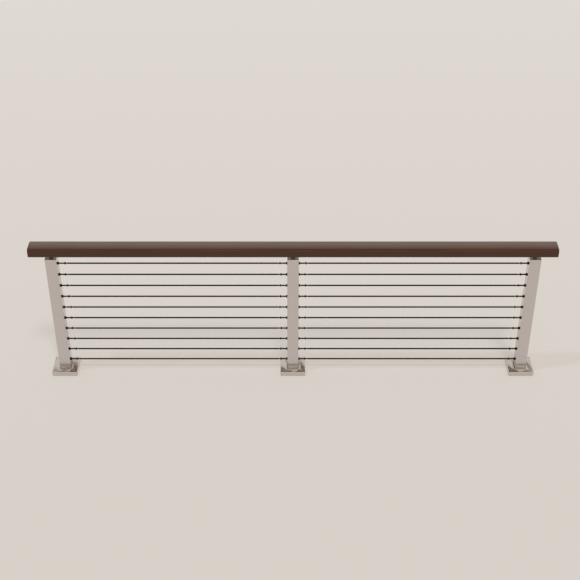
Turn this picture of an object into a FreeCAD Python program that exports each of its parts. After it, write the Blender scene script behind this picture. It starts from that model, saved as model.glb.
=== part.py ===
"""Deck railing section: three square steel posts, a rounded timber top rail and taut cables in two bays.

Millimetres. X runs along the rail, Y from front to back, and Z is up. The origin is the centre of
the middle base plate's underside, which is where the section is bolted to the deck.
"""

import FreeCAD
import Part
import os

# Layout of the section
BAY = 1405.0  # from the centre of one post to the next
GUARD_HEIGHT = 916.0  # deck to the top of the rail's crown
RAIL_OVERHANG = 123.0  # rail end past the centre of the end post

# Top rail
RAIL_HEIGHT = 55.0  # underside to the top of the crown
RAIL_DEPTH = 102.0
RAIL_CROWN = 3.0  # rise of the curved top, which sheds water, over its long edges
RAIL_ROUND = 12.0  # round-over along the upper long edges
RAIL_LOWER_ROUND = 9.0  # round-over along the lower long edges
RAIL_END_EASE = 3.0  # bevel round the rail's sawn ends

# Posts
POST_WIDTH = 67.0
POST_WALL = 3.0
POST_CORNER = 4.0  # outer corner radius of the tube
CAP_THICKNESS = 5.0
CAP_EASE = 1.0  # bevel round the cap's top

# Rail brackets on the post caps
RAIL_STAND_OFF = 27.0  # cap top to rail underside
STEM_DIAMETER = 24.0
STEM_SCREW_DIAMETER = 12.0
STEM_SCREW_REACH = 16.0  # below the cap's top
FLANGE_LENGTH = 64.0
FLANGE_DEPTH = 54.0
FLANGE_THICKNESS = 5.0
FLANGE_CORNER = 8.0
FLANGE_SCREW_HOLE = 5.5
FLANGE_SCREW_INSET = 10.0  # hole centre to the flange's edges

# Covers round the feet of the posts, and the base plates under them
COVER_WIDTH = 152.0
COVER_HEIGHT = 30.0
COVER_SHEET = 2.0
COVER_ROUND = 5.0  # outer edges of the pressed cover
PLATE_THICKNESS = 10.0
PLATE_CORNER = 8.0
ANCHOR_HOLE = 13.0
ANCHOR_INSET = 17.0  # hole centre to the plate's edges

# Cables and the tension studs at their ends
CABLE_LEVELS = 10
LOWEST_CABLE = 76.0  # deck to the bottom cable's axis
TOP_CABLE_DROP = 44.3  # post top to the top cable's axis
CABLE_DIAMETER = 9.0
STUD_DIAMETER = 8.0
STUD_REACH = 49.0  # post face to the cable's end
STUD_TAIL = 12.0  # thread inside the post, past the wall
COLLAR_DIAMETER = 17.5
COLLAR_LENGTH = 8.5

# Fits
STUD_HOLE_CLEARANCE = 0.25  # on the radius
STEM_SCREW_CLEARANCE = 0.25  # on the radius
COVER_CLEARANCE = 0.4  # on each side of the post
PLATE_CLEARANCE = 7.0  # plate's edges to the inside of the cover

# Places that follow from the sizes above
POST_NAMES = ("left", "middle", "right")
POST_PLACES = {name: (i - 1) * BAY for i, name in enumerate(POST_NAMES)}
RAIL_LENGTH = 2 * (BAY + RAIL_OVERHANG)
RAIL_UNDERSIDE = GUARD_HEIGHT - RAIL_HEIGHT
POST_TOP = RAIL_UNDERSIDE - RAIL_STAND_OFF
TUBE_TOP = POST_TOP - CAP_THICKNESS
POST_FACE = POST_WIDTH / 2  # post centre to the face that carries the cables
PLATE_WIDTH = COVER_WIDTH - 2 * (COVER_SHEET + PLATE_CLEARANCE)
CABLE_SPACING = (POST_TOP - TOP_CABLE_DROP - LOWEST_CABLE) / (CABLE_LEVELS - 1)
CABLE_HEIGHTS = [LOWEST_CABLE + CABLE_SPACING * level for level in range(CABLE_LEVELS)]

# The post faces that carry cables: the post, and the way that the face looks along X
CABLE_FACES = {
    "left_post": ("left", 1),
    "middle_post_left": ("middle", -1),
    "middle_post_right": ("middle", 1),
    "right_post": ("right", -1),
}

X_AXIS = FreeCAD.Vector(1, 0, 0)
Z_AXIS = FreeCAD.Vector(0, 0, 1)


def point(x, y, z):
    return FreeCAD.Vector(x, y, z)


def rounded_bar(length, depth, corner, bottom, height):
    """Upright prism on a rounded rectangle that is centred on the Z axis."""
    block = Part.makeBox(length, depth, height, point(-length / 2, -depth / 2, bottom))
    upright = [edge for edge in block.Edges if abs(edge.tangentAt(edge.FirstParameter).z) > 0.9]
    return block.makeFillet(corner, upright)


def upright_pin(diameter, bottom, top, x=0.0, y=0.0):
    """Round bar or drill along Z."""
    return Part.makeCylinder(diameter / 2, top - bottom, point(x, y, bottom), Z_AXIS)


def edges_at_height(shape, height):
    """Edges that lie wholly in the level plane at a height."""
    box_of = [(edge, edge.BoundBox) for edge in shape.Edges]
    slack = 1e-6
    return [e for e, b in box_of if abs(b.ZMin - height) < slack and abs(b.ZMax - height) < slack]


def post_tube(faces):
    """Square tube from base plate to cap, drilled for the studs on the given faces (+1 or -1 along X)."""
    height = TUBE_TOP - PLATE_THICKNESS
    inner_width = POST_WIDTH - 2 * POST_WALL
    inner_corner = max(POST_CORNER - POST_WALL, POST_CORNER / 4)
    outside = rounded_bar(POST_WIDTH, POST_WIDTH, POST_CORNER, PLATE_THICKNESS, height)
    inside = rounded_bar(inner_width, inner_width, inner_corner, PLATE_THICKNESS, height)
    tube = outside.cut(inside)
    drill_radius = STUD_DIAMETER / 2 + STUD_HOLE_CLEARANCE
    drills = []
    for way in faces:
        for z in CABLE_HEIGHTS:
            drills.append(Part.makeCylinder(drill_radius, POST_WIDTH, point(0, 0, z), X_AXIS * way))
    return tube.cut(Part.makeCompound(drills))


def post_cap():
    """Flat cap that closes the tube, with a bevelled top and the hole for the bracket's screw."""
    cap = rounded_bar(POST_WIDTH, POST_WIDTH, POST_CORNER, TUBE_TOP, CAP_THICKNESS)
    cap = cap.makeChamfer(CAP_EASE, edges_at_height(cap, POST_TOP))
    hole_diameter = STEM_SCREW_DIAMETER + 2 * STEM_SCREW_CLEARANCE
    return cap.cut(upright_pin(hole_diameter, TUBE_TOP, POST_TOP))


def rail_bracket():
    """Stem with a screw through the cap and a flange screwed to the rail's underside."""
    flange_bottom = RAIL_UNDERSIDE - FLANGE_THICKNESS
    flange = rounded_bar(FLANGE_LENGTH, FLANGE_DEPTH, FLANGE_CORNER, flange_bottom, FLANGE_THICKNESS)
    for x_way in (-1, 1):
        for y_way in (-1, 1):
            x = x_way * (FLANGE_LENGTH / 2 - FLANGE_SCREW_INSET)
            y = y_way * (FLANGE_DEPTH / 2 - FLANGE_SCREW_INSET)
            flange = flange.cut(upright_pin(FLANGE_SCREW_HOLE, flange_bottom, RAIL_UNDERSIDE, x, y))
    stem = upright_pin(STEM_DIAMETER, POST_TOP, flange_bottom)
    screw = upright_pin(STEM_SCREW_DIAMETER, POST_TOP - STEM_SCREW_REACH, POST_TOP)
    return flange.fuse([stem, screw]).removeSplitter()


def base_plate():
    """Square plate under the post, with a hole for an anchor bolt near each corner."""
    plate = rounded_bar(PLATE_WIDTH, PLATE_WIDTH, PLATE_CORNER, 0, PLATE_THICKNESS)
    half = PLATE_WIDTH / 2 - ANCHOR_INSET
    for x in (-half, half):
        for y in (-half, half):
            plate = plate.cut(upright_pin(ANCHOR_HOLE, 0, PLATE_THICKNESS, x, y))
    return plate


def base_cover():
    """Pressed cover that drops over the plate and its bolts: open below, with a square hole for the post."""
    shell = rounded_bar(COVER_WIDTH, COVER_WIDTH, COVER_ROUND, 0, COVER_HEIGHT)
    shell = shell.makeFillet(COVER_ROUND, edges_at_height(shell, COVER_HEIGHT))
    inner_width = COVER_WIDTH - 2 * COVER_SHEET
    inner_corner = COVER_ROUND - COVER_SHEET
    ceiling = COVER_HEIGHT - COVER_SHEET
    hollow = rounded_bar(inner_width, inner_width, inner_corner, 0, ceiling)
    hollow = hollow.makeFillet(inner_corner, edges_at_height(hollow, ceiling))
    hole_width = POST_WIDTH + 2 * COVER_CLEARANCE
    hole = rounded_bar(hole_width, hole_width, POST_CORNER + COVER_CLEARANCE, 0, COVER_HEIGHT)
    return shell.cut(hollow).cut(hole)


def top_rail():
    """Timber rail with a crowned top, rounded long edges and bevelled ends."""
    end, half = -RAIL_LENGTH / 2, RAIL_DEPTH / 2
    shoulder = GUARD_HEIGHT - RAIL_CROWN
    front_foot, back_foot = point(end, -half, RAIL_UNDERSIDE), point(end, half, RAIL_UNDERSIDE)
    front_top, back_top = point(end, -half, shoulder), point(end, half, shoulder)
    outline = (
        Part.LineSegment(front_foot, back_foot),
        Part.LineSegment(back_foot, back_top),
        Part.Arc(back_top, point(end, 0, GUARD_HEIGHT), front_top),
        Part.LineSegment(front_top, front_foot),
    )
    section = Part.Face(Part.Wire([side.toShape() for side in outline]))
    rail = section.extrude(X_AXIS * RAIL_LENGTH)
    for height, radius in ((RAIL_UNDERSIDE, RAIL_LOWER_ROUND), (shoulder, RAIL_ROUND)):
        level_edges = edges_at_height(rail, height)
        long_edges = [edge for edge in level_edges if edge.BoundBox.XLength > RAIL_LENGTH / 2]
        rail = rail.makeFillet(radius, long_edges)
    rims = [edge for edge in rail.Edges if edge.BoundBox.XLength < RAIL_END_EASE]
    return rail.makeChamfer(RAIL_END_EASE, rims)


def tension_stud():
    """Turned stud along X: a tail through the post's wall, a conical collar against its face and a shank."""
    stud_r = STUD_DIAMETER / 2
    profile = (
        (-POST_WALL - STUD_TAIL, 0.0),
        (-POST_WALL - STUD_TAIL, stud_r),
        (0.0, stud_r),
        (0.0, COLLAR_DIAMETER / 2),
        (COLLAR_LENGTH, stud_r),
        (STUD_REACH, stud_r),
        (STUD_REACH, 0.0),
    )
    outline = [point(along, 0, radius) for along, radius in profile]
    half_section = Part.Face(Part.makePolygon(outline + outline[:1]))
    return half_section.revolve(point(0, 0, 0), X_AXIS, 360)


def cable(z, x_from, x_to):
    """Taut cable between the ends of two studs."""
    return Part.makeCylinder(CABLE_DIAMETER / 2, x_to - x_from, point(x_from, 0, z), X_AXIS)


def make_parts():
    """Every piece of the section, by node name."""
    parts = {"top_rail": top_rail()}
    for name, x in POST_PLACES.items():
        faces = [way for post, way in CABLE_FACES.values() if post == name]
        pieces = {
            f"{name}_post": post_tube(faces),
            f"{name}_post_cap": post_cap(),
            f"{name}_rail_bracket": rail_bracket(),
            f"{name}_base_plate": base_plate(),
            f"{name}_base_cover": base_cover(),
        }
        for node, shape in pieces.items():
            parts[node] = shape.translated(point(x, 0, 0))
    stud = {1: tension_stud()}
    stud[-1] = stud[1].rotated(point(0, 0, 0), Z_AXIS, 180)
    for face_name, (post, way) in CABLE_FACES.items():
        x_face = POST_PLACES[post] + way * POST_FACE
        studs = [stud[way].translated(point(x_face, 0, z)) for z in CABLE_HEIGHTS]
        parts[f"{face_name}_tension_studs"] = Part.makeCompound(studs)
    for bay, post_from, post_to in (("left", "left", "middle"), ("right", "middle", "right")):
        x_from = POST_PLACES[post_from] + POST_FACE + STUD_REACH
        x_to = POST_PLACES[post_to] - POST_FACE - STUD_REACH
        for number, z in enumerate(reversed(CABLE_HEIGHTS), start=1):
            parts[f"{bay}_cable_{number:02d}"] = cable(z, x_from, x_to)
    return parts


def main():
    os.makedirs("parts", exist_ok=True)
    for node, shape in make_parts().items():
        if not shape.isValid():
            raise RuntimeError(f"{node} is not a valid shape")
        shape.exportStep(os.path.join("parts", f"{node}.step"))


main()
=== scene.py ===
"""Looks of a deck railing section: satin steel posts, a dark timber rail and jacketed cables.

Laid out as an add-on and run as a script. Metres: X along the rail, Y from front to back, Z up.
"""

import math

import bmesh
import bpy
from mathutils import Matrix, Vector


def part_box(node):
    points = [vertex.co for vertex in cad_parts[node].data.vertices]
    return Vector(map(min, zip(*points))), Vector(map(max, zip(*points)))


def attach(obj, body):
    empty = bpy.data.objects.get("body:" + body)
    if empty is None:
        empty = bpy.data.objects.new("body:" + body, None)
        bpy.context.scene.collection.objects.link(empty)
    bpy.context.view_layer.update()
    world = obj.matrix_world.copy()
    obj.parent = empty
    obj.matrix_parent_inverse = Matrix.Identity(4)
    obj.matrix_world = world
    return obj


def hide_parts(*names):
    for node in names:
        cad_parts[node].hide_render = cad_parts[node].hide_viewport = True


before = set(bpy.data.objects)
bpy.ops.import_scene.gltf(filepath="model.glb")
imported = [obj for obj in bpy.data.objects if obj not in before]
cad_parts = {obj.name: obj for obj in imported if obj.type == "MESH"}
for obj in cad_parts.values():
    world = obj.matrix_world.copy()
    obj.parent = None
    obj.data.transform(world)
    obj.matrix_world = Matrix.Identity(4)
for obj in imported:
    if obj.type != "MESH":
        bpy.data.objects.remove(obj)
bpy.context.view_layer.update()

bl_info = {
    "name": "Deck railing looks",
    "version": (1, 0, 0),
    "blender": (4, 5, 0),
    "location": "3D View > Sidebar > Railing",
    "description": "Dresses a deck railing section with steel, timber and cable finishes",
    "category": "Object",
}

# Names of the pieces that repeat
POST_NAMES = ("left", "middle", "right")
BAYS = {"left": ("left", "middle"), "right": ("middle", "right")}
CABLE_FACES = {
    "left_post": ("left", 1),
    "middle_post_left": ("middle", -1),
    "middle_post_right": ("middle", 1),
    "right_post": ("right", -1),
}
CABLE_NUMBERS = range(1, 11)

# Where each lock nut sits on its stud, top cable first: the nuts are run up by hand, so they differ
LOCK_NUT_PLACES = (0.043, 0.0365, 0.041, 0.040, 0.0445, 0.040, 0.036, 0.043, 0.041, 0.040)
# Turn of each stud and its nut against the ones above
STUD_ROLL = math.radians(23)
# Thickness of the flange, which lies flat under the rail
FLANGE_THICKNESS = 0.005

# Lines of each finish to the metre along X, Y and Z: few along the way it was drawn, rolled or grown
POST_LINES = (700.0, 700.0, 4.0)
CAP_LINES = (5.0, 700.0, 700.0)
PLATE_LINES = (5.0, 300.0, 300.0)
COVER_LINES = (60.0, 900.0, 900.0)
STEM_LINES = (500.0, 500.0, 6.0)
FLANGE_LINES = (6.0, 500.0, 500.0)
JACKET_LINES = (6.0, 1500.0, 1500.0)
WIRE_LINES = (40.0, 2000.0, 2000.0)
TIMBER_FIBRES = (5.0, 420.0, 420.0)
TIMBER_PORES = (38.0, 900.0, 900.0)
# Bends of the timber's growth rings to the metre, likewise
RING_BENDS = (1.3, 9.0, 9.0)

# Depths between which the floor's own light goes from near to far
GLOW_DEPTHS = (-1.0, 6.0)
# How far a direction points to the front where the studio is as dim as it gets there
FULL_FRONT = 0.82
# How far a direction points upwards where the studio's walls end and where its ceiling starts
CEILING_RISE = (0.56, 0.82)

MERGE_DISTANCE = 1e-6
# Upward part of a normal, above which its face counts as level
LEVEL_FACE = 0.999
QUARTER_TURN = math.radians(90)
SHARP_ANGLE = math.radians(32)


def size_of(node_name):
    low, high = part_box(node_name)
    return high - low


def centre_of(node_name):
    low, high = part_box(node_name)
    return (low + high) / 2


# Places and sizes that the frame gives
POST_CENTRES = {name: centre_of(f"{name}_post").x for name in POST_NAMES}
POST_HALF = size_of("middle_post").x / 2
CABLE_HEIGHTS = [centre_of(f"left_cable_{number:02d}").z for number in CABLE_NUMBERS]
CABLE_RADIUS = size_of("left_cable_01").y / 2
STUD_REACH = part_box("left_cable_01")[0].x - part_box("left_post")[1].x
COLLAR_RADIUS = size_of("left_post_tension_studs").y / 2


# Sizes and colours that a user would change


def setting_kind(make, **options):
    """A function that makes settings of one kind, each from its name, description and default."""

    def setting(name, description, default):
        return make(name=name, description=description, default=default, **options)

    return setting


length = setting_kind(bpy.props.FloatProperty, min=0.0, precision=5, unit="LENGTH")
share = setting_kind(bpy.props.FloatProperty, min=0.0, max=1.0, subtype="FACTOR")
amount = setting_kind(bpy.props.FloatProperty, min=0.0)
whole_number = setting_kind(bpy.props.IntProperty, min=3)
colour = setting_kind(bpy.props.FloatVectorProperty, size=3, min=0.0, soft_max=1.0, subtype="COLOR")
place = setting_kind(bpy.props.FloatVectorProperty, size=3, subtype="TRANSLATION", unit="LENGTH")


def angle(name, description, degrees):
    setting = setting_kind(bpy.props.FloatProperty, subtype="ANGLE", unit="ROTATION")
    return setting(name, description, math.radians(degrees))


class RailingTimber(bpy.types.PropertyGroup):
    """The top rail."""

    round_over: length("Round-over", "Radius of the rail's upper long edges", 0.012)
    lower_round: length("Lower round-over", "Radius of the rail's lower long edges", 0.009)
    crown: length("Crown", "Rise of the curved top over its long edges", 0.003)
    end_ease: length("End ease", "Rounding round the sawn ends", 0.003)
    heart: place("Heart", "A point on the line that the growth rings lie round", (0.0, 0.035, 0.80))
    ring_width: length("Ring width", "Spacing of the growth rings", 0.0075)
    ring_wander: length("Ring wander", "How far the growth rings wander along the rail", 0.030)
    dark: colour("Late wood", "Colour of the dark part of each ring", (0.036, 0.0114, 0.0040))
    light: colour("Early wood", "Colour of the light part of each ring", (0.081, 0.0276, 0.0105))
    # Painted sheen: this weathered colour, its share and its lean to the back also lighten the rail's top
    # where it would reflect the bright studio, besides real weathering
    weathered: colour("Weathered", "Colour that sun and rain give the upper side", (0.196, 0.153, 0.131))
    weathering: share("Weathering", "How far the upper side has weathered", 0.72)
    weather_lean: angle("Weather lean", "How far the weathered side leans to the back", 14.0)
    roughness: share("Roughness", "Roughness of the oiled timber", 0.42)


class RailingSteel(bpy.types.PropertyGroup):
    """Posts, caps, base plates and foot covers."""

    finish: colour("Finish", "Colour of the satin steel", (0.66, 0.623, 0.603))
    roughness: share("Roughness", "Roughness of the satin steel", 0.22)
    cap_roughness: share("Cap roughness", "Roughness of the post caps", 0.28)
    plate_shade: share("Plate shade", "Colour of the base plates, as a share of the posts'", 0.72)
    plate_roughness: share("Plate roughness", "Roughness of the base plates", 0.42)
    cover_roughness: share("Cover roughness", "Roughness of the pressed foot covers", 0.16)
    cover_sheet: length("Cover sheet", "Thickness of the cover's sheet", 0.002)
    cover_ease: length("Cover ease", "Width of the cover's folded edge", 0.0012)
    cover_corner: length("Cover corner", "Radius of the cover's upright corners", 0.005)
    cover_lip: length("Cover lip", "Radius of the lip that is rolled down along the post", 0.004)
    cover_gap: length("Cover gap", "Gap between the cover and the post", 0.0004)
    rim_slope: amount("Rim slope", "Slope of the pressed top at the cover's outer corners", 0.44)
    rear_share: share("Rear share", "How far the pressed top bends at its rear, against its front", 0.55)
    neck_slope: amount("Neck slope", "Slope of the pressed top at the post's corners", 0.14)
    post_corner: length("Post corner", "Radius of the post's upright corners", 0.004)


class RailingFittings(bpy.types.PropertyGroup):
    """Tension studs, lock nuts, rail brackets and their screws."""

    collar_length: length("Collar length", "Length of the domed collar against the post", 0.0085)
    collar_rim: length("Collar rim", "Height of the collar's straight rim", 0.0018)
    stud_radius: length("Stud radius", "Outer radius of the stud's thread", 0.0044)
    thread_depth: length("Thread depth", "Depth of the stud's thread", 0.0003)
    thread_pitch: length("Thread pitch", "Distance from one turn of the thread to the next", 0.00125)
    nut_width: length("Nut width", "Lock nut across its flats", 0.013)
    nut_height: length("Nut height", "Height of the lock nut", 0.0068)
    screw_radius: length("Screw radius", "Radius of the bracket screws' heads", 0.0048)
    screw_height: length("Screw height", "Height of the bracket screws' heads", 0.0030)
    screw_inset: length("Screw inset", "Screw centre to the flange's edges", 0.010)
    finish: colour("Finish", "Colour of the blackened studs and nuts", (0.0048, 0.0021, 0.0007))
    worn: colour("Worn", "Colour where the blackening is thin", (0.028, 0.012, 0.0036))
    roughness: share("Roughness", "Roughness of the blackened studs and nuts", 0.42)
    stem: colour("Stem", "Colour of the dark stems under the rail", (0.20, 0.19, 0.18))
    flange: colour("Flange", "Colour of the dark steel flanges under the rail", (0.37, 0.33, 0.30))
    flange_roughness: share("Flange roughness", "Roughness of the stems and flanges", 0.34)


class RailingCables(bpy.types.PropertyGroup):
    """Jacketed cables and their bare ends."""

    bare_length: length("Bare length", "Bare wire between the stud and the jacket", 0.0045)
    strand_radius: length("Strand radius", "Radius of one strand of the wire", 0.00106)
    strands: whole_number("Strands", "Strands round the core", 6)
    lay: length("Lay", "Length of one turn of the strands", 0.034)
    wire: colour("Wire", "Colour of the bare wire", (0.065, 0.059, 0.054))
    wire_roughness: share("Wire roughness", "Roughness of the bare wire", 0.38)
    jacket_lay: length("Jacket lay", "Length of one turn of the lay that shows through the jacket", 0.060)
    jacket_relief: length("Jacket relief", "Height of the lay that shows through the jacket", 0.00012)
    jacket: colour("Jacket", "Colour of the jacket", (0.0155, 0.0070, 0.0024))
    jacket_roughness: share("Jacket roughness", "Roughness of the jacket", 0.48)
    dust: colour("Dust", "Colour of the dust on the jacket", (0.16, 0.13, 0.10))
    dust_cover: share("Dust cover", "How much of the jacket's upper side the dust hides", 0.015)


class RailingStage(bpy.types.PropertyGroup):
    """Floor, lights and camera."""

    floor: colour("Floor", "Colour of the floor", (0.25, 0.232, 0.215))
    floor_size: length("Floor size", "Side of the floor", 80.0)
    near_glow: colour("Near glow", "Light of the floor itself, near the camera", (0.427, 0.392, 0.357))
    far_glow: colour("Far glow", "Light of the floor itself, behind the railing", (0.477, 0.448, 0.427))
    fade_start: length("Fade start", "Where the floor starts to fade into the studio", 9.0)
    back_edge: colour("Back edge", "Light of the floor's edge behind the railing", (0.483, 0.458, 0.456))
    front_edge: colour("Front edge", "Light of the floor's edge behind the camera", (0.313, 0.298, 0.286))
    back: colour("Back", "Light of the studio behind and beside the railing", (0.75, 0.71, 0.69))
    front: colour("Front", "Light of the studio behind the camera", (0.58, 0.55, 0.52))
    zenith: colour("Zenith", "Light of the studio overhead", (0.325, 0.262, 0.205))
    softbox: colour("Softbox", "Light of the soft lamp over the camera", (1.2, 1.06, 0.83))
    softbox_height: angle("Softbox height", "Height of the soft lamp over the floor", 56.0)
    softbox_core: angle("Softbox core", "Half width of the soft lamp's even middle", 8.0)
    softbox_edge: angle("Softbox edge", "Half width of the soft lamp with its faded edge", 26.0)
    key_power: amount("Key power", "Light of the front lamp, in watts per square metre", 1.19)
    key_light: colour("Key light", "Colour of the front lamp", (1.0, 1.0, 1.0))
    key_spread: angle("Key spread", "Width of the front lamp in the sky", 8.6)
    key_height: angle("Key height", "Height of the front lamp over the floor", 65.2)
    key_turn: angle("Key turn", "Turn of the front lamp towards the right", 17.0)
    side_power: amount("Side power", "Light of the left lamp, in watts per square metre", 0.91)
    side_light: colour("Side light", "Colour of the left lamp", (0.56, 0.79, 1.0))
    side_spread: angle("Side spread", "Width of the left lamp in the sky", 4.0)
    side_height: angle("Side height", "Height of the left lamp over the floor", 65.0)
    side_turn: angle("Side turn", "Turn of the left lamp, from the front", -76.0)
    camera_place: place("Camera place", "Where the camera stands", (-0.0176, -5.6643, 4.6484))
    camera_dip: angle("Camera dip", "How far the camera looks down", 35.570)
    lens: amount("Lens", "Focal length on a 36 mm sensor, in millimetres", 72.974)


# Objects and meshes


def link(name, data):
    """A new object in the scene."""
    made = bpy.data.objects.new(name, data)
    bpy.context.scene.collection.objects.link(made)
    return made


def seat(piece, slot, *nodes):
    """The piece rides on the railing and stands in for its CAD nodes, which are hidden; the finish slot is
    not used.
    """
    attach(piece, "root")
    if nodes:
        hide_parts(*nodes)


def plain_mesh(piece):
    """Turns a piece with modifiers into a plain mesh."""
    graph = bpy.context.evaluated_depsgraph_get()
    mesh = bpy.data.meshes.new_from_object(piece.evaluated_get(graph))
    old = piece.data
    piece.modifiers.clear()
    piece.data = mesh
    bpy.data.meshes.remove(old)
    mesh.name = piece.name
    return piece


def shade(mesh, sharp_angle=SHARP_ANGLE):
    """Smooth shading that keeps the edges that are sharper than an angle."""
    mesh.shade_smooth()
    mesh.set_sharp_from_angle(angle=sharp_angle)
    return mesh


def ring_skin(name, rings, closed=False):
    """Skin over rings of equally many points: joined end to end, or else with a flat cap at each end."""
    bm = bmesh.new()
    loops = [[bm.verts.new(corner) for corner in ring] for ring in rings]
    pairs = list(zip(loops, loops[1:]))
    if closed:
        pairs.append((loops[-1], loops[0]))
    else:
        bm.faces.new(loops[0])
        bm.faces.new(loops[-1])
    count = len(loops[0])
    for lower, upper in pairs:
        for i in range(count):
            j = (i + 1) % count
            bm.faces.new((lower[i], lower[j], upper[j], upper[i]))
    bmesh.ops.recalc_face_normals(bm, faces=bm.faces)
    mesh = bpy.data.meshes.new(name)
    bm.to_mesh(mesh)
    bm.free()
    return mesh


def circle(along, radius, steps):
    """Ring round the X axis; radius is a number, or gives one for each angle."""
    turns = [2 * math.pi * step / steps for step in range(steps)]
    radii = [radius(turn) if callable(radius) else radius for turn in turns]
    return [(along, r * math.cos(turn), r * math.sin(turn)) for turn, r in zip(turns, radii)]


def hexagon(apothem, turn):
    """Distance from a hexagon's middle to its outline, at an angle from the middle of one flat."""
    off_flat = (turn + math.radians(30)) % math.radians(60) - math.radians(30)
    return apothem / math.cos(off_flat)


def rounded_square(half, corner, z, x, steps=6):
    """Level ring round a post: a square with rounded corners."""
    ring = []
    for quarter, (way_x, way_y) in enumerate(((1, 1), (-1, 1), (-1, -1), (1, -1))):
        for step in range(steps + 1):
            turn = QUARTER_TURN * (quarter + step / steps)
            ring_x = x + way_x * (half - corner) + corner * math.cos(turn)
            ring_y = way_y * (half - corner) + corner * math.sin(turn)
            ring.append((ring_x, ring_y, z))
    return ring


def polished_copy(node_name, name):
    """Copy of a CAD node with its triangles joined and its rounded corners shaded smooth."""
    bm = bmesh.new()
    bm.from_mesh(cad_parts[node_name].data)
    bmesh.ops.remove_doubles(bm, verts=bm.verts, dist=MERGE_DISTANCE)
    bm.verts.index_update()
    mesh = bpy.data.meshes.new(name)
    faces = [[v.index for v in face.verts] for face in bm.faces]
    mesh.from_pydata([v.co for v in bm.verts], [], faces)
    bm.free()
    shade(mesh)
    piece = link(name, mesh)
    even = piece.modifiers.new("even flat faces", "WEIGHTED_NORMAL")
    even.keep_sharp = True
    return plain_mesh(piece)


# Nodes


def put(tree, socket, value):
    """Feeds a socket from another one, or sets its value; a colour is made opaque."""
    if isinstance(value, bpy.types.NodeSocket):
        tree.links.new(value, socket)
    elif socket.type == "RGBA":
        socket.default_value = (*value, 1.0)
    else:
        socket.default_value = value


def node(tree, kind, inputs=None, **settings):
    """A new node; inputs maps its sockets to values or to the sockets that feed them."""
    made = tree.nodes.new(kind)
    for key, value in settings.items():
        setattr(made, key, value)
    for socket, value in (inputs or {}).items():
        put(tree, made.inputs[socket], value)
    return made


def feed(tree, fed, **sockets):
    """Feeds the sockets of a node, named with underscores for spaces."""
    for name, value in sockets.items():
        put(tree, fed.inputs[name.replace("_", " ")], value)


def maths(tree, operation, first, second=0.0):
    return node(tree, "ShaderNodeMath", {0: first, 1: second}, operation=operation).outputs[0]


def vector_maths(tree, operation, first, second=(0.0, 0.0, 0.0)):
    made = node(tree, "ShaderNodeVectorMath", {0: first, 1: second}, operation=operation)
    return made.outputs["Value" if operation in {"LENGTH", "DOT_PRODUCT"} else "Vector"]


def span(tree, value, start, end, least=0.0, most=1.0, curve="LINEAR"):
    """Maps a value between a start and an end to one between a least and a most."""
    limits = {"Value": value, 1: start, 2: end, 3: least, 4: most}
    return node(tree, "ShaderNodeMapRange", limits, interpolation_type=curve).outputs[0]


def noise(tree, vector, scale, detail, roughness=0.5):
    inputs = {"Vector": vector, "Scale": scale, "Detail": detail, "Roughness": roughness}
    return node(tree, "ShaderNodeTexNoise", inputs).outputs[0]


def blend_colour(tree, factor, first, second):
    """Mix of two colours; each may be a value or a socket."""
    made = node(tree, "ShaderNodeMix", data_type="RGBA")
    sockets = [s for s in made.inputs if s.enabled]
    for socket, value in zip(sockets, (factor, first, second)):
        put(tree, socket, value)
    return next(s for s in made.outputs if s.enabled)


def relief(tree, height, strength, distance):
    """Normal of a fine relief."""
    inputs = {"Height": height, "Strength": strength, "Distance": distance}
    return node(tree, "ShaderNodeBump", inputs).outputs["Normal"]


def socket_tree(name, kind, inputs, outputs):
    """Empty tree of nodes with named sockets, as the tree, its inputs and its outputs."""
    tree = bpy.data.node_groups.new(name, kind)
    for way, sockets in (("INPUT", inputs), ("OUTPUT", outputs)):
        for socket, data in sockets.items():
            tree.interface.new_socket(socket, in_out=way, socket_type=f"NodeSocket{data}")
    return tree, node(tree, "NodeGroupInput").outputs, node(tree, "NodeGroupOutput").inputs


def drawn_lines_group(name):
    """Fine lines along the way that a piece was drawn, rolled or grown."""
    inputs = {"Vector": "Vector", "Fineness": "Vector"}
    group, given, out = socket_tree(name, "ShaderNodeTree", inputs, {"Lines": "Float"})
    stretched = vector_maths(group, "MULTIPLY", given["Vector"], given["Fineness"])
    put(group, out["Lines"], noise(group, stretched, scale=1.0, detail=4.0, roughness=0.6))
    return group


def patches_group(name):
    """Soft uneven patches, as handling and weather leave, between two values."""
    inputs = {"Vector": "Vector", "Scale": "Float", "Least": "Float", "Most": "Float"}
    group, given, out = socket_tree(name, "ShaderNodeTree", inputs, {"Value": "Float"})
    uneven = noise(group, given["Vector"], given["Scale"], detail=3.0)
    spread = span(group, uneven, start=0.3, end=0.7, least=given["Least"], most=given["Most"])
    put(group, out["Value"], spread)
    return group


def sky_side_group(name):
    """Mask of the surfaces that face the sky, broken up by patches."""
    inputs = {"Vector": "Vector", "Scale": "Float", "Break up": "Float", "Sky": "Vector", "Reach": "Float"}
    group, given, out = socket_tree(name, "ShaderNodeTree", inputs, {"Mask": "Float"})
    normal = node(group, "ShaderNodeNewGeometry").outputs["Normal"]
    upward = vector_maths(group, "DOT_PRODUCT", normal, given["Sky"])
    facing = span(group, upward, start=given["Reach"], end=1.0, curve="SMOOTHSTEP")
    uneven = noise(group, given["Vector"], given["Scale"], detail=4.0)
    loss = maths(group, "MULTIPLY", uneven, given["Break up"])
    kept = maths(group, "SUBTRACT", 1.0, loss)
    put(group, out["Mask"], maths(group, "MULTIPLY", facing, kept))
    return group


GROUP_MAKERS = {
    "Drawn lines": drawn_lines_group,
    "Uneven patches": patches_group,
    "Sky side": sky_side_group,
}


def effect(tree, name, coordinates, **inputs):
    """Result of a shared effect that is placed in a material; its group is made the first time."""
    group = bpy.data.node_groups.get(name) or GROUP_MAKERS[name](name)
    placed = node(tree, "ShaderNodeGroup", {"Vector": coordinates}, node_tree=group)
    feed(tree, placed, **inputs)
    return placed.outputs[0]


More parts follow.
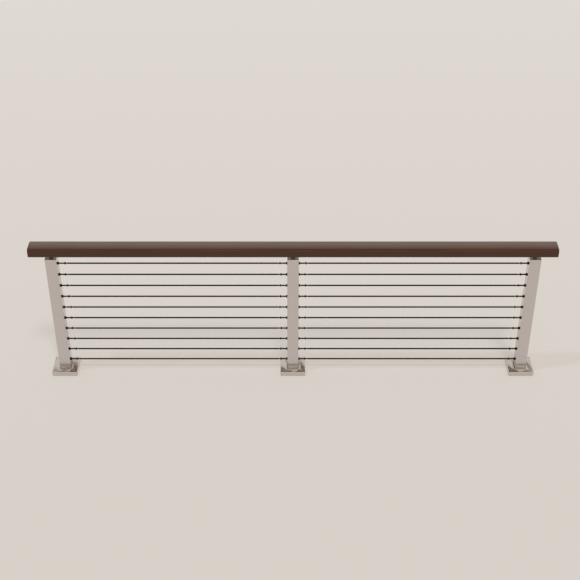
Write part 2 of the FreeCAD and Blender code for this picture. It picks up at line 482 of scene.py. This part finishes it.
def uneven_gloss(tree, coordinates, roughness, scale, least, most):
    """Roughness in soft patches, between two shares of its value."""
    limits = {"Least": roughness * least, "Most": roughness * most}
    return effect(tree, "Uneven patches", coordinates, Scale=scale, **limits)


# Materials


def new_material(name):
    """A material with only a Principled BSDF, as its tree, shader and object coordinates."""
    material = bpy.data.materials.new(name)
    material.use_nodes = True
    tree = material.node_tree
    tree.nodes.clear()
    shader = node(tree, "ShaderNodeBsdfPrincipled")
    node(tree, "ShaderNodeOutputMaterial", {"Surface": shader.outputs[0]})
    coordinates = node(tree, "ShaderNodeTexCoord").outputs["Object"]
    return material, tree, shader, coordinates


def toned(tint, factor):
    """A colour made darker or lighter."""
    return tuple(channel * factor for channel in tint)


def uneven_tone(tree, mask, tint, least, most):
    """A colour that a mask takes from its darker to its lighter tone."""
    return blend_colour(tree, mask, toned(tint, least), toned(tint, most))


def steel_material(name, tint, roughness, fineness):
    """Steel with a drawn finish: fine lines in the colour and the gloss, and faint handling marks."""
    material, tree, shader, coordinates = new_material(name)
    lines = effect(tree, "Drawn lines", coordinates, Fineness=fineness)
    marks = uneven_gloss(tree, coordinates, roughness, scale=9.0, least=0.85, most=1.15)
    line_share = 0.2
    line_gloss = maths(tree, "MULTIPLY", lines, roughness * line_share)
    feed(
        tree,
        shader,
        Base_Color=uneven_tone(tree, lines, tint, least=0.95, most=1.04),
        Metallic=1.0,
        Roughness=maths(tree, "ADD", marks, line_gloss),
        Normal=relief(tree, lines, strength=0.04, distance=0.0002),
    )
    return material


def timber_material(timber):
    """Dark oiled timber: growth rings round a heart below the rail, fibres, pores, and a top lightened
    partly by weathering and partly by painted sheen.
    """
    material, tree, shader, coordinates = new_material("dark_oiled_timber")
    bends = noise(tree, vector_maths(tree, "MULTIPLY", coordinates, RING_BENDS), scale=1.0, detail=2.0)
    wander = maths(tree, "MULTIPLY", bends, timber.ring_wander)
    from_heart = vector_maths(tree, "SUBTRACT", coordinates, timber.heart)
    across = vector_maths(tree, "MULTIPLY", from_heart, (0.0, 1.0, 1.0))
    radius = maths(tree, "ADD", vector_maths(tree, "LENGTH", across), wander)
    ring = maths(tree, "FRACT", maths(tree, "DIVIDE", radius, timber.ring_width))
    ring_tone = span(tree, ring, 0.0, 1.0, curve="SMOOTHERSTEP")
    fibres = effect(tree, "Drawn lines", coordinates, Fineness=TIMBER_FIBRES)
    pore_lines = effect(tree, "Drawn lines", coordinates, Fineness=TIMBER_PORES)
    pores = span(tree, pore_lines, start=0.56, end=0.68)

    ring_share, fibre_share, pore_share, pore_tone, pore_depth = 0.55, 0.45, 0.8, 0.4, 0.7
    ring_part = maths(tree, "MULTIPLY", ring_tone, ring_share)
    fibre_part = maths(tree, "MULTIPLY", fibres, fibre_share)
    grain = blend_colour(tree, maths(tree, "ADD", ring_part, fibre_part), timber.dark, timber.light)
    pore_part = maths(tree, "MULTIPLY", pores, pore_share)
    wood = blend_colour(tree, pore_part, grain, toned(timber.dark, pore_tone))

    # Painted sheen and weathering: the top is lightened most where it leans to the back, standing in for its
    # reflection of the studio
    sky = (0.0, math.sin(timber.weather_lean), math.cos(timber.weather_lean))
    upper = effect(tree, "Sky side", coordinates, Scale=14.0, Break_up=0.2, Sky=sky, Reach=0.925)
    silver_sheen = uneven_tone(tree, fibres, timber.weathered, least=0.82, most=1.18)
    height = maths(tree, "SUBTRACT", fibres, maths(tree, "MULTIPLY", pores, pore_depth))
    feed(
        tree,
        shader,
        Base_Color=blend_colour(tree, maths(tree, "MULTIPLY", upper, timber.weathering), wood, silver_sheen),
        Roughness=uneven_gloss(tree, coordinates, timber.roughness, scale=6.0, least=0.9, most=1.15),
        Specular_IOR_Level=0.42,
        Normal=relief(tree, height, strength=0.18, distance=0.0004),
    )
    return material


def stud_material(fittings):
    """Blackened steel, a little thin in places."""
    material, tree, shader, coordinates = new_material("black_stud_steel")
    thin = effect(tree, "Uneven patches", coordinates, Scale=160.0, Least=0.0, Most=0.6)
    feed(
        tree,
        shader,
        Base_Color=blend_colour(tree, thin, fittings.finish, fittings.worn),
        Roughness=uneven_gloss(tree, coordinates, fittings.roughness, scale=60.0, least=0.85, most=1.2),
        Specular_IOR_Level=0.08,
    )
    return material


def jacket_material(cables):
    """Brown-black vinyl jacket with faint lines from its extrusion and a little dust on top."""
    material, tree, shader, coordinates = new_material("cable_jacket_vinyl")
    lines = effect(tree, "Drawn lines", coordinates, Fineness=JACKET_LINES)
    vinyl = uneven_tone(tree, lines, cables.jacket, least=0.85, most=1.15)
    sky, gloss = (0.0, 0.0, 1.0), cables.jacket_roughness
    upper = effect(tree, "Sky side", coordinates, Scale=40.0, Break_up=0.8, Sky=sky, Reach=0.7)
    dusty = maths(tree, "MULTIPLY", upper, cables.dust_cover)
    feed(
        tree,
        shader,
        Base_Color=blend_colour(tree, dusty, vinyl, cables.dust),
        Roughness=uneven_gloss(tree, coordinates, gloss, scale=30.0, least=0.9, most=1.15),
        Specular_IOR_Level=0.02,
        Normal=relief(tree, lines, strength=0.05, distance=0.0001),
    )
    return material


def floor_material(stage):
    """Plain pale floor with a light of its own, clear from below so that the underside can be seen."""
    material, tree, shader, coordinates = new_material("studio_floor")
    mottle = effect(tree, "Uneven patches", coordinates, Scale=0.6, Least=0.0, Most=1.0)
    depth = node(tree, "ShaderNodeSeparateXYZ", {0: coordinates}).outputs["Y"]
    glow = blend_colour(tree, span(tree, depth, *GLOW_DEPTHS), stage.near_glow, stage.far_glow)
    reach = vector_maths(tree, "LENGTH", coordinates)
    to_front = span(tree, maths(tree, "DIVIDE", depth, reach), 0.0, -FULL_FRONT)
    edge = blend_colour(tree, to_front, stage.back_edge, stage.front_edge)
    to_edge = span(tree, reach, stage.fade_start, stage.floor_size / 2, curve="SMOOTHSTEP")
    feed(
        tree,
        shader,
        Base_Color=uneven_tone(tree, mottle, stage.floor, least=0.997, most=1.003),
        Roughness=1.0,
        Specular_IOR_Level=0.0,
        Emission_Color=blend_colour(tree, to_edge, glow, edge),
        Emission_Strength=1.0,
    )
    below = node(tree, "ShaderNodeNewGeometry").outputs["Backfacing"]
    clear = node(tree, "ShaderNodeBsdfTransparent")
    mixed = node(tree, "ShaderNodeMixShader", {0: below, 1: shader.outputs[0], 2: clear.outputs[0]})
    output = next(n for n in tree.nodes if n.type == "OUTPUT_MATERIAL")
    put(tree, output.inputs["Surface"], mixed.outputs[0])
    return material


# Geometry trees


def geometry_tree(name, inputs):
    """Empty geometry tree with named inputs, as the tree, its inputs and its output socket."""
    geometry = {"Geometry": "Geometry"}
    tree, given, out = socket_tree(name, "GeometryNodeTree", {**geometry, **inputs}, geometry)
    return tree, given, out["Geometry"]


def end_tree(tree, geometry, material, output):
    """Realizes the instances and gives the result its material."""
    real = node(tree, "GeometryNodeRealizeInstances", {"Geometry": geometry})
    inputs = {"Geometry": real.outputs["Geometry"], "Material": material}
    dressed = node(tree, "GeometryNodeSetMaterial", inputs)
    put(tree, output, dressed.outputs["Geometry"])


def turn_about(tree, **angles):
    """Rotation about the axes X, Y and Z."""
    euler = node(tree, "ShaderNodeCombineXYZ", angles)
    return node(tree, "FunctionNodeEulerToRotation", {0: euler.outputs[0]}).outputs[0]


def attribute(tree, name):
    """A number that each point carries."""
    named = node(tree, "GeometryNodeInputNamedAttribute", {"Name": name}, data_type="FLOAT")
    return named.outputs["Attribute"]


def instances(tree, points, shape, rotation):
    inputs = {"Points": points, "Instance": shape, "Rotation": rotation}
    return node(tree, "GeometryNodeInstanceOnPoints", inputs).outputs[0]


def round_section(tree, sides, radius):
    inputs = {"Resolution": sides, "Radius": radius}
    return node(tree, "GeometryNodeCurvePrimitiveCircle", inputs).outputs[0]


def swept(tree, line, section):
    """Closed mesh of a section that is swept along a line."""
    inputs = {"Curve": line, "Profile Curve": section, "Fill Caps": True}
    return node(tree, "GeometryNodeCurveToMesh", inputs).outputs[0]


def copies_tree():
    """One shape at each point, turned about X and Z as the point's attributes say."""
    inputs = {"Shape": "Object", "Material": "Material"}
    tree, given, output = geometry_tree("Copies at points", inputs)
    shape = node(tree, "GeometryNodeObjectInfo", {"Object": given["Shape"]}).outputs["Geometry"]
    rotation = turn_about(tree, X=attribute(tree, "roll"), Z=attribute(tree, "facing"))
    copies = instances(tree, given["Geometry"], shape, rotation)
    end_tree(tree, copies, given["Material"], output)
    return tree


def wire_tree():
    """A short length of bare stranded wire at each point, along the point's facing."""
    inputs = {
        "Length": "Float",
        "Lay": "Float",
        "Strand radius": "Float",
        "Strands": "Int",
        "Material": "Material",
    }
    tree, given, output = geometry_tree("Stranded wire", inputs)
    section = round_section(tree, sides=8, radius=given["Strand radius"])
    off_axis = maths(tree, "MULTIPLY", given["Strand radius"], 2.0)
    helix = {
        "Resolution": 32,
        "Rotations": maths(tree, "DIVIDE", given["Length"], given["Lay"]),
        "Start Radius": off_axis,
        "End Radius": off_axis,
        "Height": given["Length"],
    }
    strand = swept(tree, node(tree, "GeometryNodeCurveSpiral", helix).outputs[0], section)
    core_end = node(tree, "ShaderNodeCombineXYZ", {"Z": given["Length"]}).outputs[0]
    core_line = node(tree, "GeometryNodeCurvePrimitiveLine", {"End": core_end}).outputs[0]

    seats = node(tree, "GeometryNodePoints", {"Count": given["Strands"]}).outputs[0]
    step = maths(tree, "DIVIDE", 2 * math.pi, given["Strands"])
    index = node(tree, "GeometryNodeInputIndex").outputs[0]
    strand_turn = turn_about(tree, Z=maths(tree, "MULTIPLY", index, step))
    wire = node(tree, "GeometryNodeJoinGeometry")
    put(tree, wire.inputs[0], instances(tree, seats, strand, strand_turn))
    put(tree, wire.inputs[0], swept(tree, core_line, section))

    upright_to_x = turn_about(tree, Y=QUARTER_TURN, Z=attribute(tree, "facing"))
    ends = instances(tree, given["Geometry"], wire.outputs[0], upright_to_x)
    end_tree(tree, ends, given["Material"], output)
    return tree


def jacket_tree():
    """Round jacket along each line, with the lay of the strands showing faintly through it."""
    inputs = {"Radius": "Float", "Relief": "Float", "Lay": "Float", "Strands": "Int", "Material": "Material"}
    tree, given, output = geometry_tree("Cable jacket", inputs)
    rings_per_turn, sides_per_strand = 12, 4
    line = node(tree, "GeometryNodeMeshToCurve", {"Mesh": given["Geometry"]}).outputs[0]
    ring_step = maths(tree, "DIVIDE", given["Lay"], rings_per_turn)
    spacing = {"Curve": line, "Length": ring_step}
    spaced = node(tree, "GeometryNodeResampleCurve", spacing, mode="LENGTH").outputs[0]
    along = node(tree, "GeometryNodeSplineParameter").outputs["Length"]
    turns = maths(tree, "DIVIDE", along, given["Lay"])
    tilt = {"Curve": spaced, "Tilt": maths(tree, "MULTIPLY", turns, 2 * math.pi)}
    twisted = node(tree, "GeometryNodeSetCurveTilt", tilt).outputs[0]

    sides = maths(tree, "MULTIPLY", given["Strands"], sides_per_strand)
    index = node(tree, "GeometryNodeInputIndex").outputs[0]
    wave = maths(tree, "COSINE", maths(tree, "MULTIPLY", index, 2 * math.pi / sides_per_strand))
    lift = maths(tree, "MULTIPLY", wave, given["Relief"])
    outward = vector_maths(tree, "NORMALIZE", node(tree, "GeometryNodeInputPosition").outputs[0])
    offset = node(tree, "ShaderNodeVectorMath", {0: outward, "Scale": lift}, operation="SCALE")
    lobes = {
        "Geometry": round_section(tree, sides, given["Radius"]),
        "Offset": offset.outputs["Vector"],
    }
    lobed = node(tree, "GeometryNodeSetPosition", lobes).outputs[0]
    end_tree(tree, swept(tree, twisted, lobed), given["Material"], output)
    return tree


def point_mesh(name, points, lines=(), **attributes):
    """Bare points, with any lines between them and a value of each attribute for each point."""
    mesh = bpy.data.meshes.new(name)
    mesh.from_pydata(points, lines, [])
    for key, values in attributes.items():
        mesh.attributes.new(key, "FLOAT", "POINT").data.foreach_set("value", values)
    return mesh


def grow(name, points, tree, **values):
    """A plain mesh piece that a geometry tree grows from points or lines."""
    piece = link(name, points)
    modifier = piece.modifiers.new("grow", "NODES")
    modifier.node_group = tree
    sockets = [s for s in tree.interface.items_tree if s.item_type == "SOCKET" and s.in_out == "INPUT"]
    identifiers = {s.name.lower().replace(" ", "_"): s.identifier for s in sockets}
    for key, value in values.items():
        modifier[identifiers[key]] = value
    plain_mesh(piece)
    if not piece.data.polygons:
        raise RuntimeError(f"{name} came out empty")
    return piece


# Shapes of the pieces that aren't copies of their nodes; the small fittings lie along X


def pressed_normals(mesh, centre_x, half, top, steel):
    """Shades the flat top of a cover as softly pressed: bent down towards its rim and towards the post."""
    middle = (half + POST_HALF) / 2
    mesh.update()
    normals = [Vector(corner.vector) for corner in mesh.corner_normals]
    for face in mesh.polygons:
        if face.normal.z < LEVEL_FACE or face.center.z < top - MERGE_DISTANCE:
            continue
        for corner in face.loop_indices:
            spot = mesh.vertices[mesh.loops[corner].vertex_index].co
            reach = (spot.x - centre_x, spot.y)
            slope = steel.rim_slope if max(map(abs, reach)) > middle else -steel.neck_slope
            lean = [slope * math.copysign(1.0, side) for side in reach]
            if spot.y > 0:
                lean[1] *= steel.rear_share
            normals[corner] = Vector((*lean, 1.0)).normalized()
    mesh.normals_split_custom_set(normals)


def cover_mesh(name, steel):
    """Pressed cover round a post's foot, with a lip that is rolled down along the post."""
    low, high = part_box(f"{name}_base_cover")
    x, half, top = POST_CENTRES[name], (high.x - low.x) / 2, high.z
    sheet, ease, lip = steel.cover_sheet, steel.cover_ease, steel.cover_lip
    outer, inner = steel.cover_corner, steel.cover_corner - sheet
    hole, hole_corner = POST_HALF + steel.cover_gap, steel.post_corner + steel.cover_gap
    lip_steps = 4
    levels = [(half, outer, low.z), (half, outer, top - ease), (half - ease, outer, top)]
    for step in range(lip_steps + 1):
        turn = QUARTER_TURN * step / lip_steps
        out = lip * (1 - math.sin(turn))
        levels.append((hole + out, hole_corner + out, top - lip * (1 - math.cos(turn))))
    levels += [
        (hole + sheet, hole_corner + sheet, top - lip),
        (hole + lip, hole_corner + lip, top - sheet),
        (half - sheet - ease, inner, top - sheet),
        (half - sheet, inner, top - sheet - ease),
        (half - sheet, inner, low.z),
    ]
    rings = [rounded_square(side, corner, z, x) for side, corner, z in levels]
    mesh = shade(ring_skin(f"{name}_foot_cover", rings, closed=True), sharp_angle=math.radians(30))
    pressed_normals(mesh, x, half, top, steel)
    return mesh


def rail_mesh(timber):
    """Timber rail with a crowned top, rounded long edges and eased ends."""
    low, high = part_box("top_rail")
    arc_steps, crown_steps, ease_steps, spans = 8, 12, 4, 48

    def section(x, inset):
        """Ring across the rail, drawn in by an inset near the ends."""
        half = (high.y - low.y) / 2 - inset
        bottom, shoulder = low.z + inset, high.z - timber.crown - inset
        outline = []
        corners = ((1, shoulder, 0), (-1, shoulder, 90), (-1, bottom, 180), (1, bottom, 270))
        for way, edge, start in corners:
            corner = (timber.round_over if edge == shoulder else timber.lower_round) - inset
            centre_z = edge - corner if edge == shoulder else edge + corner
            for step in range(arc_steps + 1):
                turn = math.radians(start + 90 * step / arc_steps)
                y = way * (half - corner) + corner * math.cos(turn)
                outline.append((y, centre_z + corner * math.sin(turn)))
            if start == 0:
                flat = half - corner
                steps = range(1, crown_steps)
                outline += [(flat * (1 - 2 * step / crown_steps), shoulder) for step in steps]
        middle = (bottom + shoulder) / 2
        crowned = []
        for y, z in outline:
            rise = timber.crown * (1 - (y / half) ** 2) if z > middle else 0.0
            crowned.append((x, y, z + rise))
        return crowned

    ease = timber.end_ease
    turns = [QUARTER_TURN * step / ease_steps for step in range(ease_steps + 1)]
    eased = [(ease * (1 - math.cos(turn)), ease * (1 - math.sin(turn))) for turn in turns]
    left = [(low.x + along, inset) for along, inset in eased]
    right = [(high.x - along, inset) for along, inset in reversed(eased)]
    body_length = high.x - low.x - 2 * ease
    body = [(low.x + ease + body_length * step / spans, 0.0) for step in range(1, spans)]
    rings = [section(x, inset) for x, inset in left + body + right]
    return shade(ring_skin("rail_timber", rings), sharp_angle=math.radians(50))


def stud_mesh(fittings):
    """Domed collar against the post and a threaded shank, from the post's face to the cable's end."""
    steps, dome_steps, rings_per_pitch = 16, 6, 4
    pitch, depth, outer = fittings.thread_pitch, fittings.thread_depth, fittings.stud_radius
    rim, collar = fittings.collar_rim, fittings.collar_length
    inner, ease, dome_power = outer * 0.9, rim / 3, 2.2

    def thread(along):
        def radius(turn):
            phase = (along / pitch - turn / (2 * math.pi)) % 1.0
            return outer - depth * abs(2 * phase - 1)

        return radius

    outline = [(0.0, inner), (0.0, COLLAR_RADIUS - ease), (ease, COLLAR_RADIUS)]
    for step in range(dome_steps + 1):
        part = step / dome_steps
        radius = COLLAR_RADIUS + (outer - COLLAR_RADIUS) * part ** dome_power
        outline.append((rim + (collar - rim) * part, radius))
    for step in range(1, int((STUD_REACH - collar) / pitch * rings_per_pitch)):
        along = collar + step * pitch / rings_per_pitch
        outline.append((along, thread(along)))
    outline += [(STUD_REACH - depth, outer - depth), (STUD_REACH, outer - 2 * depth)]
    rings = [circle(along, radius, steps) for along, radius in outline]
    return shade(ring_skin("stud", rings), sharp_angle=math.radians(50))


def nut_mesh(fittings):
    """Chamfered hexagon nut with a round bore, centred on its own middle."""
    steps = 36
    half, apothem, bore = fittings.nut_height / 2, fittings.nut_width / 2, fittings.stud_radius
    corner = apothem / math.cos(math.radians(30))
    chamfer = (corner - apothem) * math.tan(math.radians(30))
    end_face = apothem * 0.97
    falls = (0.0, 0.35, 0.7, 1.0)

    def outline(fall):
        """The hexagon, cut round by the chamfer."""
        limit = end_face + (corner - end_face) * fall
        return lambda turn: min(hexagon(apothem, turn), limit)

    rings = [circle(-half, bore, steps)]
    rings += [circle(-half + chamfer * fall, outline(fall), steps) for fall in falls]
    rings += [circle(half - chamfer * fall, outline(fall), steps) for fall in reversed(falls)]
    rings.append(circle(half, bore, steps))
    return shade(ring_skin("nut", rings, closed=True), sharp_angle=math.radians(22))


def screw_mesh(fittings):
    """Button head with a hexagon socket: its seat at zero and its top along +X."""
    steps, dome_steps, dome_turn = 24, 6, math.radians(80)
    radius, height = fittings.screw_radius, fittings.screw_height
    seat_radius, rim, dome_centre = radius * 0.96, height * 0.12, radius * 0.42
    socket_flat, socket_depth = radius * 0.34, height * 0.55

    def socket(turn):
        return hexagon(socket_flat, turn)

    rings = [circle(0.0, seat_radius, steps)]
    for step in range(dome_steps + 1):
        turn = dome_turn * step / dome_steps
        along = rim + (height - rim) * math.sin(turn) / math.sin(dome_turn)
        rings.append(circle(along, dome_centre + (radius - dome_centre) * math.cos(turn), steps))
    rings.append(circle(height, socket, steps))
    rings.append(circle(height - socket_depth, socket, steps))
    return shade(ring_skin("screw", rings))


# Operators, one for each piece or group of like pieces


class RAILING_OT_posts(bpy.types.Operator):
    """Posts, their caps and the base plates under them"""

    bl_idname = "railing.posts"
    bl_label = "Posts, caps and base plates"

    def execute(self, context):
        steel = context.scene.railing_steel
        satin = steel_material("satin_post_steel", steel.finish, steel.roughness, POST_LINES)
        milled = steel_material("milled_cap_steel", steel.finish, steel.cap_roughness, CAP_LINES)
        plate_colour = toned(steel.finish, steel.plate_shade)
        rolled = steel_material("rolled_plate_steel", plate_colour, steel.plate_roughness, PLATE_LINES)
        pieces = {
            "post": ("post_tube", satin),
            "post_cap": ("post_top", milled),
            "base_plate": ("foot_plate", rolled),
        }
        for name in POST_NAMES:
            for part, (piece_name, material) in pieces.items():
                piece = polished_copy(f"{name}_{part}", f"{name}_{piece_name}")
                piece.data.materials.append(material)
                seat(piece, "satin_steel", f"{name}_{part}")
        return {"FINISHED"}


class RAILING_OT_foot_covers(bpy.types.Operator):
    """Pressed covers round the feet of the posts"""

    bl_idname = "railing.foot_covers"
    bl_label = "Foot covers"

    def execute(self, context):
        steel = context.scene.railing_steel
        pressed = steel_material("pressed_cover_steel", steel.finish, steel.cover_roughness, COVER_LINES)
        for name in POST_NAMES:
            mesh = cover_mesh(name, steel)
            mesh.materials.append(pressed)
            seat(link(f"{name}_foot_cover", mesh), "satin_steel", f"{name}_base_cover")
        return {"FINISHED"}


class RAILING_OT_top_rail(bpy.types.Operator):
    """Timber top rail with a crowned top and rounded edges"""

    bl_idname = "railing.top_rail"
    bl_label = "Top rail"

    def execute(self, context):
        timber = context.scene.railing_timber
        mesh = rail_mesh(timber)
        mesh.materials.append(timber_material(timber))
        seat(link("rail_timber", mesh), "dark_timber", "top_rail")
        return {"FINISHED"}


class RAILING_OT_brackets(bpy.types.Operator):
    """Stems and flanges that carry the rail, with the screws into its underside"""

    bl_idname = "railing.brackets"
    bl_label = "Rail brackets"

    def execute(self, context):
        fittings = context.scene.railing_fittings
        inset, roughness = fittings.screw_inset, fittings.flange_roughness
        stem = steel_material("black_stem_steel", fittings.stem, roughness, STEM_LINES)
        flange = steel_material("dark_flange_steel", fittings.flange, roughness, FLANGE_LINES)
        shape = link("screw_shape", screw_mesh(fittings))
        tree = copies_tree()
        for name in POST_NAMES:
            node_name = f"{name}_rail_bracket"
            bracket = polished_copy(node_name, f"{name}_stem_and_flange")
            low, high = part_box(node_name)
            flange_bottom = high.z - FLANGE_THICKNESS
            bracket.data.materials.append(stem)
            bracket.data.materials.append(flange)
            for face in bracket.data.polygons:
                face.material_index = int(face.center.z > flange_bottom - MERGE_DISTANCE)
            seat(bracket, "black_fittings", node_name)
            xs, ys = (low.x + inset, high.x - inset), (low.y + inset, high.y - inset)
            points = [(x, y, flange_bottom) for x in xs for y in ys]
            unturned = [0.0] * len(points)
            seats = point_mesh("screw_seats", points, roll=unturned, facing=unturned)
            screws = grow(f"{name}_flange_screws", seats, tree, shape=shape, material=stem)
            seat(screws, "black_fittings")
        bpy.data.objects.remove(shape)
        return {"FINISHED"}


class RAILING_OT_tension_studs(bpy.types.Operator):
    """Tension studs with their collars and threads, and the lock nuts on them"""

    bl_idname = "railing.tension_studs"
    bl_label = "Tension studs and lock nuts"

    def execute(self, context):
        fittings = context.scene.railing_fittings
        black = stud_material(fittings)
        stud = link("stud_shape", stud_mesh(fittings))
        nut = link("nut_shape", nut_mesh(fittings))
        tree = copies_tree()
        at_post = [0.0] * len(CABLE_HEIGHTS)
        rolls = [STUD_ROLL * number for number in CABLE_NUMBERS]
        for face, (post, way) in CABLE_FACES.items():
            x_face = POST_CENTRES[post] + way * POST_HALF
            facing = [0.0 if way > 0 else math.pi] * len(CABLE_HEIGHTS)
            groups = (
                ("studs", stud, at_post, [f"{face}_tension_studs"]),
                ("lock_nuts", nut, LOCK_NUT_PLACES, []),
            )
            for group, shape, places, nodes in groups:
                points = [(x_face + way * along, 0, z) for along, z in zip(places, CABLE_HEIGHTS)]
                seats = point_mesh(f"{group}_seats", points, roll=rolls, facing=facing)
                piece = grow(f"{face}_{group}", seats, tree, shape=shape, material=black)
                seat(piece, "black_fittings", *nodes)
        bpy.data.objects.remove(stud)
        bpy.data.objects.remove(nut)
        return {"FINISHED"}


class RAILING_OT_cables(bpy.types.Operator):
    """Jacketed cables in both bays, with bare wire at their ends"""

    bl_idname = "railing.cables"
    bl_label = "Cables"

    def execute(self, context):
        cables = context.scene.railing_cables
        vinyl = jacket_material(cables)
        bare = steel_material("bare_wire_steel", cables.wire, cables.wire_roughness, WIRE_LINES)
        jackets, wires = jacket_tree(), wire_tree()
        for bay, (post_from, post_to) in BAYS.items():
            x_from = POST_CENTRES[post_from] + POST_HALF + STUD_REACH
            x_to = POST_CENTRES[post_to] - POST_HALF - STUD_REACH
            ends = []
            for z in CABLE_HEIGHTS:
                ends += [(x_from + cables.bare_length, 0, z), (x_to - cables.bare_length, 0, z)]
            lines = [(i, i + 1) for i in range(0, len(ends), 2)]
            jacket = grow(
                f"{bay}_bay_cables",
                point_mesh("cable_lines", ends, lines),
                jackets,
                radius=CABLE_RADIUS,
                relief=cables.jacket_relief,
                lay=cables.jacket_lay,
                strands=cables.strands,
                material=vinyl,
            )
            nodes = [f"{bay}_cable_{number:02d}" for number in CABLE_NUMBERS]
            seat(jacket, "cable_jacket", *nodes)
            starts = [(x, 0, z) for x in (x_from, x_to) for z in CABLE_HEIGHTS]
            facing = [turn for turn in (0.0, math.pi) for z in CABLE_HEIGHTS]
            wire = grow(
                f"{bay}_bay_wire_ends",
                point_mesh("wire_starts", starts, facing=facing),
                wires,
                length=cables.bare_length,
                lay=cables.lay,
                strand_radius=cables.strand_radius,
                strands=cables.strands,
                material=bare,
            )
            seat(wire, "satin_steel")
        return {"FINISHED"}


def studio_world(stage):
    """Soft studio light: dimmer behind the camera and overhead, with a soft lamp over the camera."""
    world = bpy.data.worlds.new("studio")
    world.use_nodes = True
    tree = world.node_tree
    tree.nodes.clear()
    direction = node(tree, "ShaderNodeTexCoord").outputs["Generated"]
    towards = node(tree, "ShaderNodeSeparateXYZ", {0: direction}).outputs
    walls = blend_colour(tree, span(tree, towards["Y"], 0.0, -FULL_FRONT), stage.back, stage.front)
    studio = blend_colour(tree, span(tree, towards["Z"], *CEILING_RISE), walls, stage.zenith)
    lamp_way = (0.0, -math.cos(stage.softbox_height), math.sin(stage.softbox_height))
    nearness = vector_maths(tree, "DOT_PRODUCT", direction, lamp_way)
    edge, core = math.cos(stage.softbox_edge), math.cos(stage.softbox_core)
    in_lamp = span(tree, nearness, edge, core, curve="SMOOTHSTEP")
    lit = blend_colour(tree, in_lamp, studio, stage.softbox)
    background = node(tree, "ShaderNodeBackground", {"Color": lit})
    node(tree, "ShaderNodeOutputWorld", {"Surface": background.outputs[0]})
    return world


def lamp(name, power, tint, spread, height, turn):
    """Distant lamp at a height over the floor and a turn from the front, not mirrored in shiny pieces."""
    data = bpy.data.lights.new(name, "SUN")
    data.energy, data.color, data.angle = power, tint, spread
    level = math.cos(height)
    towards = Vector((math.sin(turn) * level, -math.cos(turn) * level, math.sin(height)))
    made = link(name, data)
    made.rotation_mode = "QUATERNION"
    made.rotation_quaternion = (-towards).to_track_quat("-Z", "Y")
    made.visible_glossy = False


class RAILING_OT_stage(bpy.types.Operator):
    """Floor, studio light and camera"""

    bl_idname = "railing.stage"
    bl_label = "Stage"

    def execute(self, context):
        scene, stage = context.scene, context.scene.railing_stage
        half = stage.floor_size / 2
        corners = [(-half, -half, 0), (half, -half, 0), (half, half, 0), (-half, half, 0)]
        mesh = bpy.data.meshes.new("studio_floor")
        mesh.from_pydata(corners, [], [(0, 1, 2, 3)])
        mesh.materials.append(floor_material(stage))
        link("studio_floor", mesh)
        scene.world = studio_world(stage)
        for name in ("key", "side"):
            values = ("power", "light", "spread", "height", "turn")
            lamp(f"{name}_lamp", *(getattr(stage, f"{name}_{value}") for value in values))
        data = bpy.data.cameras.new("camera")
        data.lens = stage.lens
        camera = link("camera", data)
        camera.location = stage.camera_place
        camera.rotation_euler = (QUARTER_TURN - stage.camera_dip, 0.0, 0.0)
        scene.camera = camera
        scene.view_settings.view_transform = "Standard"
        return {"FINISHED"}


class RAILING_PT_panel(bpy.types.Panel):
    """Lists the pieces of the railing and their sizes and colours"""

    bl_label = "Deck railing"
    bl_idname = "RAILING_PT_panel"
    bl_space_type = "VIEW_3D"
    bl_region_type = "UI"
    bl_category = "Railing"

    def draw(self, context):
        for operator in OPERATORS:
            self.layout.operator(operator.bl_idname)
        for key, group in SETTINGS.items():
            box = self.layout.box()
            box.label(text=group.__doc__)
            for setting in group.__annotations__:
                box.prop(getattr(context.scene, key), setting)


SETTINGS = {
    "railing_timber": RailingTimber,
    "railing_steel": RailingSteel,
    "railing_fittings": RailingFittings,
    "railing_cables": RailingCables,
    "railing_stage": RailingStage,
}
OPERATORS = (
    RAILING_OT_posts,
    RAILING_OT_foot_covers,
    RAILING_OT_top_rail,
    RAILING_OT_brackets,
    RAILING_OT_tension_studs,
    RAILING_OT_cables,
    RAILING_OT_stage,
)


def register():
    for group in SETTINGS.values():
        bpy.utils.register_class(group)
    for key, group in SETTINGS.items():
        setattr(bpy.types.Scene, key, bpy.props.PointerProperty(type=group))
    for made in (*OPERATORS, RAILING_PT_panel):
        bpy.utils.register_class(made)


def unregister():
    for made in reversed((*OPERATORS, RAILING_PT_panel)):
        bpy.utils.unregister_class(made)
    for key in SETTINGS:
        delattr(bpy.types.Scene, key)
    for group in reversed(SETTINGS.values()):
        bpy.utils.unregister_class(group)


def main():
    register()
    bpy.ops.railing.stage()
    bpy.ops.railing.posts()
    bpy.ops.railing.foot_covers()
    bpy.ops.railing.top_rail()
    bpy.ops.railing.brackets()
    bpy.ops.railing.tension_studs()
    bpy.ops.railing.cables()


if __name__ == "__main__":
    main()
